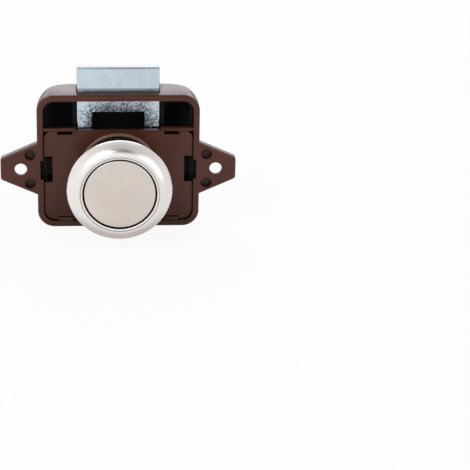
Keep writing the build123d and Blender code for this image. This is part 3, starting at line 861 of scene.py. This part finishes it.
# %% Knob
knob_low, knob_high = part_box("knob")
knob_r = knob_high.x / MM
knob_face = knob_low.y / MM
knob_rear = knob_high.y / MM
disc_height = 1.8
disc_chamfer = 0.1
knob_back = knob_face + disc_height
spigot_length = 6.0
spigot_front = knob_rear - spigot_length
edge_r = 0.25
step_r = 9.1
neck_r = 5.5
spigot_r = 3.5
screw_bore_r = 1.55
screw_bore_bottom = spigot_front - 3.0
knob_outline = [
    (0, knob_face),
    (knob_r - edge_r, knob_face),
    *arc_points((knob_r - edge_r, knob_face + edge_r), (edge_r, edge_r), -90, 0, steps=6)[1:],
    (knob_r, knob_back - disc_chamfer),
    (knob_r - disc_chamfer, knob_back),
    (step_r, knob_back),
    (neck_r, knob_back + step_r - neck_r),
    (neck_r, spigot_front),
    (spigot_r, spigot_front),
    (spigot_r, knob_rear),
    (screw_bore_r, knob_rear),
    (screw_bore_r, screw_bore_bottom),
    (0, screw_bore_bottom),
]
knob = turned("knob_button", knob_outline, "push_knob", knob_nickel)
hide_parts("knob")

# %% [markdown]
# ## Threaded sleeve
# The sleeve screws the ring to the collar, whatever the thickness of the door, so it carries a thread along its
# whole length. A thread is a wave that climbs as it goes round: the height of each point depends on its place
# along the axis less its angle times the pitch. One loop with that formula makes all the turns.

# %% Sleeve
sleeve_r = sleeve_high.x / MM
sleeve_bore_r = 9.7
sleeve_front = sleeve_low.y / MM
sleeve_rear = sleeve_high.y / MM
sleeve_length = sleeve_rear - sleeve_front
thread_turns = 6
thread_pitch = sleeve_length / thread_turns
thread_depth = 0.4
thread_start = 0.2
thread_run_out = 0.6
rows_a_turn = 16
thread_sharp_turn = math.radians(50)


def thread_radius(y, angle):
    """A rounded wave, which fades out at both ends of the sleeve."""
    phase = (y / thread_pitch - angle / math.tau) % 1.0
    wave = 0.5 - 0.5 * math.cos(math.tau * phase)
    ends = min(y - sleeve_front, sleeve_rear - y)
    fade = min(1.0, max(0.0, (ends - thread_start) / thread_run_out))
    return sleeve_r - thread_depth * wave * fade


def threaded_sleeve():
    work = bmesh.new()
    count = thread_turns * rows_a_turn
    rows = []
    for number in range(count + 1):
        y = sleeve_front + sleeve_length * number / count
        rows.append(loop(work, lambda angle: thread_radius(y, angle), y))
    rows += [loop(work, sleeve_bore_r, y) for y in (sleeve_rear, sleeve_front)]
    weave(work, [*rows, rows[0]])
    sleeve = made_piece(work, "threaded_sleeve", inner_plastic)
    sleeve.data.set_sharp_from_angle(angle=thread_sharp_turn)
    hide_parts("rosette_sleeve")
    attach(sleeve, "rosette")


threaded_sleeve()
print("thread turns", thread_turns, "pitch in mm", round(thread_pitch, 2))

# %% [markdown]
# ## Springs
# A compression spring is one wire wound to a helix, with its last turn at each end laid flat on the next, so that
# it stands square. The solids have plain helices of few sides, so round ones are wound here.

# %% Springs
coil_steps = 28
coil_sides = 12
flat_turn_pitch = 1.05
ALONG_Y, ALONG_Z = 1, 2


def climb(turn, turns, length, wire):
    """Height of the wire's middle after some turns. The first and the last turn lie nearly flat."""
    flat = flat_turn_pitch * wire
    rise = length - wire - 2 * flat
    if turn < 1:
        return wire / 2 + flat * turn
    if turn > turns - 1:
        return length - wire / 2 - flat * (turns - turn)
    return wire / 2 + flat + rise * (turn - 1) / (turns - 2)


def wire_rows(work, line, middle, along, wire):
    """Rings of points round the wire, square to its run."""
    rows = []
    for number, point in enumerate(line):
        ahead = line[min(number + 1, len(line) - 1)] - line[max(number - 1, 0)]
        outward = point - middle
        outward[along] = 0
        outward.normalize()
        sideways = ahead.normalized().cross(outward)
        row = []
        for side in range(coil_sides):
            angle = math.tau * side / coil_sides
            around = math.cos(angle) * outward + math.sin(angle) * sideways
            row.append(work.verts.new(point + wire / 2 * around))
        rows.append(row)
    return rows


def wound_spring(node, along, wire_mm, turns):
    """A spring in the box of its solid, from its low end to its high end."""
    low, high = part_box(node)
    middle = (low + high) / 2
    wire = wire_mm * MM
    across = [axis for axis in (0, 1, 2) if axis != along]
    radius = (high[across[0]] - low[across[0]]) / 2 - wire / 2
    length = high[along] - low[along]
    line = []
    for step in range(turns * coil_steps + 1):
        angle = math.tau * step / coil_steps
        point = middle.copy()
        point[across[0]] += radius * math.cos(angle)
        point[across[1]] += radius * math.sin(angle)
        point[along] = low[along] + climb(step / coil_steps, turns, length, wire)
        line.append(point)
    work = bmesh.new()
    rows = wire_rows(work, line, middle, along, wire)
    weave(work, rows)
    work.faces.new(rows[0])
    work.faces.new(rows[-1])
    piece = made_piece(work, "wound_" + node, spring_steel)
    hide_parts(node)
    start, end = middle.copy(), middle.copy()
    start[along], end[along] = low[along], high[along]
    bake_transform(piece)
    print(piece.name, "length", round(length / MM, 2), "radius", round(radius / MM, 2))


wound_spring("plunger_spring", ALONG_Y, 0.8, 5)
wound_spring("bolt_spring_left", ALONG_Z, 0.4, 7)
wound_spring("bolt_spring_right", ALONG_Z, 0.4, 7)

# %% [markdown]
# ## Other steel pieces
# The cam wire, the leaf that presses on it and the knob's screw are small and hidden. Their solids have enough
# shape as they are, so they only get their finish.

# %% Other steel pieces
steel_pieces = {"cam_wire": spring_steel, "cam_leaf_spring": spring_steel, "knob_screw": screw_steel}
for node, finish in steel_pieces.items():
    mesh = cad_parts[node].data
    mesh.materials.clear()
    mesh.materials.append(finish)
    print(node, "in", finish.name)
